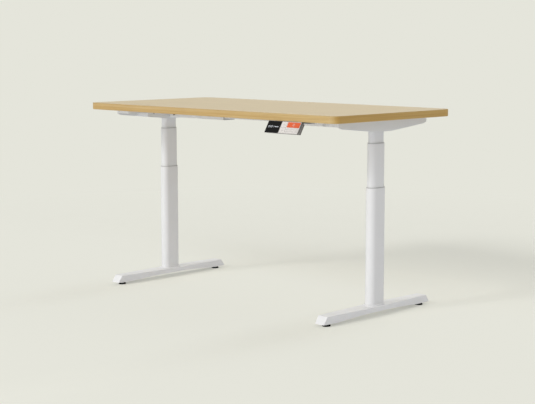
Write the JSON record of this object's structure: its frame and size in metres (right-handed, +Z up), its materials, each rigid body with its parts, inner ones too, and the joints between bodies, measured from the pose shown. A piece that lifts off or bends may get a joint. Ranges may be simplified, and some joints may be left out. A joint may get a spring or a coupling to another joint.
{
  "type": "height adjustable standing desk",
  "caption": "Electric standing desk: wooden top on telescoping columns with flat feet, side brackets, a crossbar and a keypad under the front edge.",
  "frame": {"origin": "on the floor, under the middle of the desk's outline", "axes": "+X along the desktop to the user's right, +Y from the user's side to the back, +Z up"},
  "size_m": [1.5, 0.759, 0.839],
  "materials": {
    "light_wood": "satin lacquered light wood",
    "white_steel": "fine matt white powder coat",
    "zinc": "bright zinc",
    "grey_plastic": "matt grey",
    "glide_plastic": "slippery natural acetal",
    "black_plastic": "matt black",
    "dark_grey_plastic": "matt dark grey",
    "black_screw": "black oxide",
    "dark_metal": "dark lacquer",
    "cast_aluminium": "as cast",
    "gloss_black": "gloss black window",
    "white_plastic": "satin white",
    "orange_plastic": "satin orange"
  },
  "bodies": {
    "left_base": {"left_foot": "white_steel", "left_column_flange": "white_steel", "left_foot_bolts": "zinc", "left_outer_tube": "white_steel", "left_outer_collar": "grey_plastic", "left_base_screw": "zinc"},
    "left_middle": {"left_middle_tube": "white_steel", "left_middle_collar": "grey_plastic", "left_lower_glides": "glide_plastic", "left_middle_screw": "zinc"},
    "top": {"left_inner_tube": "white_steel", "left_upper_glides": "glide_plastic", "left_drive_tube": "zinc", "left_side_bracket": "white_steel", "left_outer_rail": "white_steel", "left_gearbox": "cast_aluminium", "left_motor": "dark_metal", "right_inner_tube": "white_steel", "right_upper_glides": "glide_plastic", "right_drive_tube": "zinc", "right_side_bracket": "white_steel", "right_outer_rail": "white_steel", "right_gearbox": "cast_aluminium", "right_motor": "dark_metal", "inner_rail": "white_steel", "rail_end_caps": "grey_plastic", "rail_screws": "black_screw", "bracket_screws": "zinc", "desktop": "light_wood", "control_box": "black_plastic", "mains_inlet": "black_plastic", "handset_housing": "dark_grey_plastic", "handset_window": "gloss_black", "handset_face": "white_plastic", "handset_plate": "black_plastic", "handset_base": "black_plastic"},
    "right_middle": {"right_middle_tube": "white_steel", "right_middle_collar": "grey_plastic", "right_lower_glides": "glide_plastic", "right_middle_screw": "zinc"},
    "right_base": {"right_foot": "white_steel", "right_column_flange": "white_steel", "right_foot_bolts": "zinc", "right_outer_tube": "white_steel", "right_outer_collar": "grey_plastic", "right_base_screw": "zinc"},
    "left_front_leveller": {"left_front_pad": "black_plastic", "left_front_stud": "zinc"},
    "left_back_leveller": {"left_back_pad": "black_plastic", "left_back_stud": "zinc"},
    "right_front_leveller": {"right_front_pad": "black_plastic", "right_front_stud": "zinc"},
    "right_back_leveller": {"right_back_pad": "black_plastic", "right_back_stud": "zinc"},
    "up_key_cap": {"up_key": "white_plastic"},
    "down_key_cap": {"down_key": "white_plastic"},
    "large_key_cap": {"large_key": "orange_plastic"},
    "memory_key_1_cap": {"memory_key_1": "white_plastic"},
    "memory_key_2_cap": {"memory_key_2": "white_plastic"},
    "memory_key_3_cap": {"memory_key_3": "white_plastic"}
  },
  "joints": [
    {"name": "left_lower_stage", "type": "slide", "parent": "left_base", "child": "left_middle", "axis": [0, 0, 1], "range_m": [-0.171, 0.179]},
    {"name": "left_upper_stage", "type": "slide", "parent": "left_middle", "child": "top", "axis": [0, 0, 1], "range_m": [-0.04, 0.24]},
    {"name": "right_upper_stage", "type": "slide", "parent": "top", "child": "right_middle", "axis": [0, 0, -1], "range_m": [-0.04, 0.24]},
    {"name": "right_lower_stage", "type": "slide", "parent": "right_middle", "child": "right_base", "axis": [0, 0, -1], "range_m": [-0.171, 0.179]},
    {"name": "left_front_leveller_turn", "type": "hinge", "parent": "left_base", "child": "left_front_leveller", "pos_m": [-0.636, -0.26797, 0.0115], "axis": [0, 0, 1], "continuous": true},
    {"name": "left_back_leveller_turn", "type": "hinge", "parent": "left_base", "child": "left_back_leveller", "pos_m": [-0.636, 0.32203, 0.0115], "axis": [0, 0, 1], "continuous": true},
    {"name": "right_front_leveller_turn", "type": "hinge", "parent": "right_base", "child": "right_front_leveller", "pos_m": [0.636, -0.26797, 0.0115], "axis": [0, 0, 1], "continuous": true},
    {"name": "right_back_leveller_turn", "type": "hinge", "parent": "right_base", "child": "right_back_leveller", "pos_m": [0.636, 0.32203, 0.0115], "axis": [0, 0, 1], "continuous": true},
    {"name": "up_key_press", "type": "slide", "parent": "top", "child": "up_key_cap", "axis": [0, 0.8545, -0.5195], "range_m": [0, 0.001], "stiffness_N_per_m": 1500},
    {"name": "down_key_press", "type": "slide", "parent": "top", "child": "down_key_cap", "axis": [0, 0.8545, -0.5195], "range_m": [0, 0.001], "stiffness_N_per_m": 1500},
    {"name": "large_key_press", "type": "slide", "parent": "top", "child": "large_key_cap", "axis": [0, 0.8545, -0.5195], "range_m": [0, 0.001], "stiffness_N_per_m": 1500},
    {"name": "memory_key_1_press", "type": "slide", "parent": "top", "child": "memory_key_1_cap", "axis": [0, 0.8545, -0.5195], "range_m": [0, 0.001], "stiffness_N_per_m": 1500},
    {"name": "memory_key_2_press", "type": "slide", "parent": "top", "child": "memory_key_2_cap", "axis": [0, 0.8545, -0.5195], "range_m": [0, 0.001], "stiffness_N_per_m": 1500},
    {"name": "memory_key_3_press", "type": "slide", "parent": "top", "child": "memory_key_3_cap", "axis": [0, 0.8545, -0.5195], "range_m": [0, 0.001], "stiffness_N_per_m": 1500}
  ],
  "couplings": [
    {"joint": "right_lower_stage", "follows": "left_lower_stage", "ratio": 1},
    {"joint": "right_upper_stage", "follows": "left_upper_stage", "ratio": 1}
  ]
}
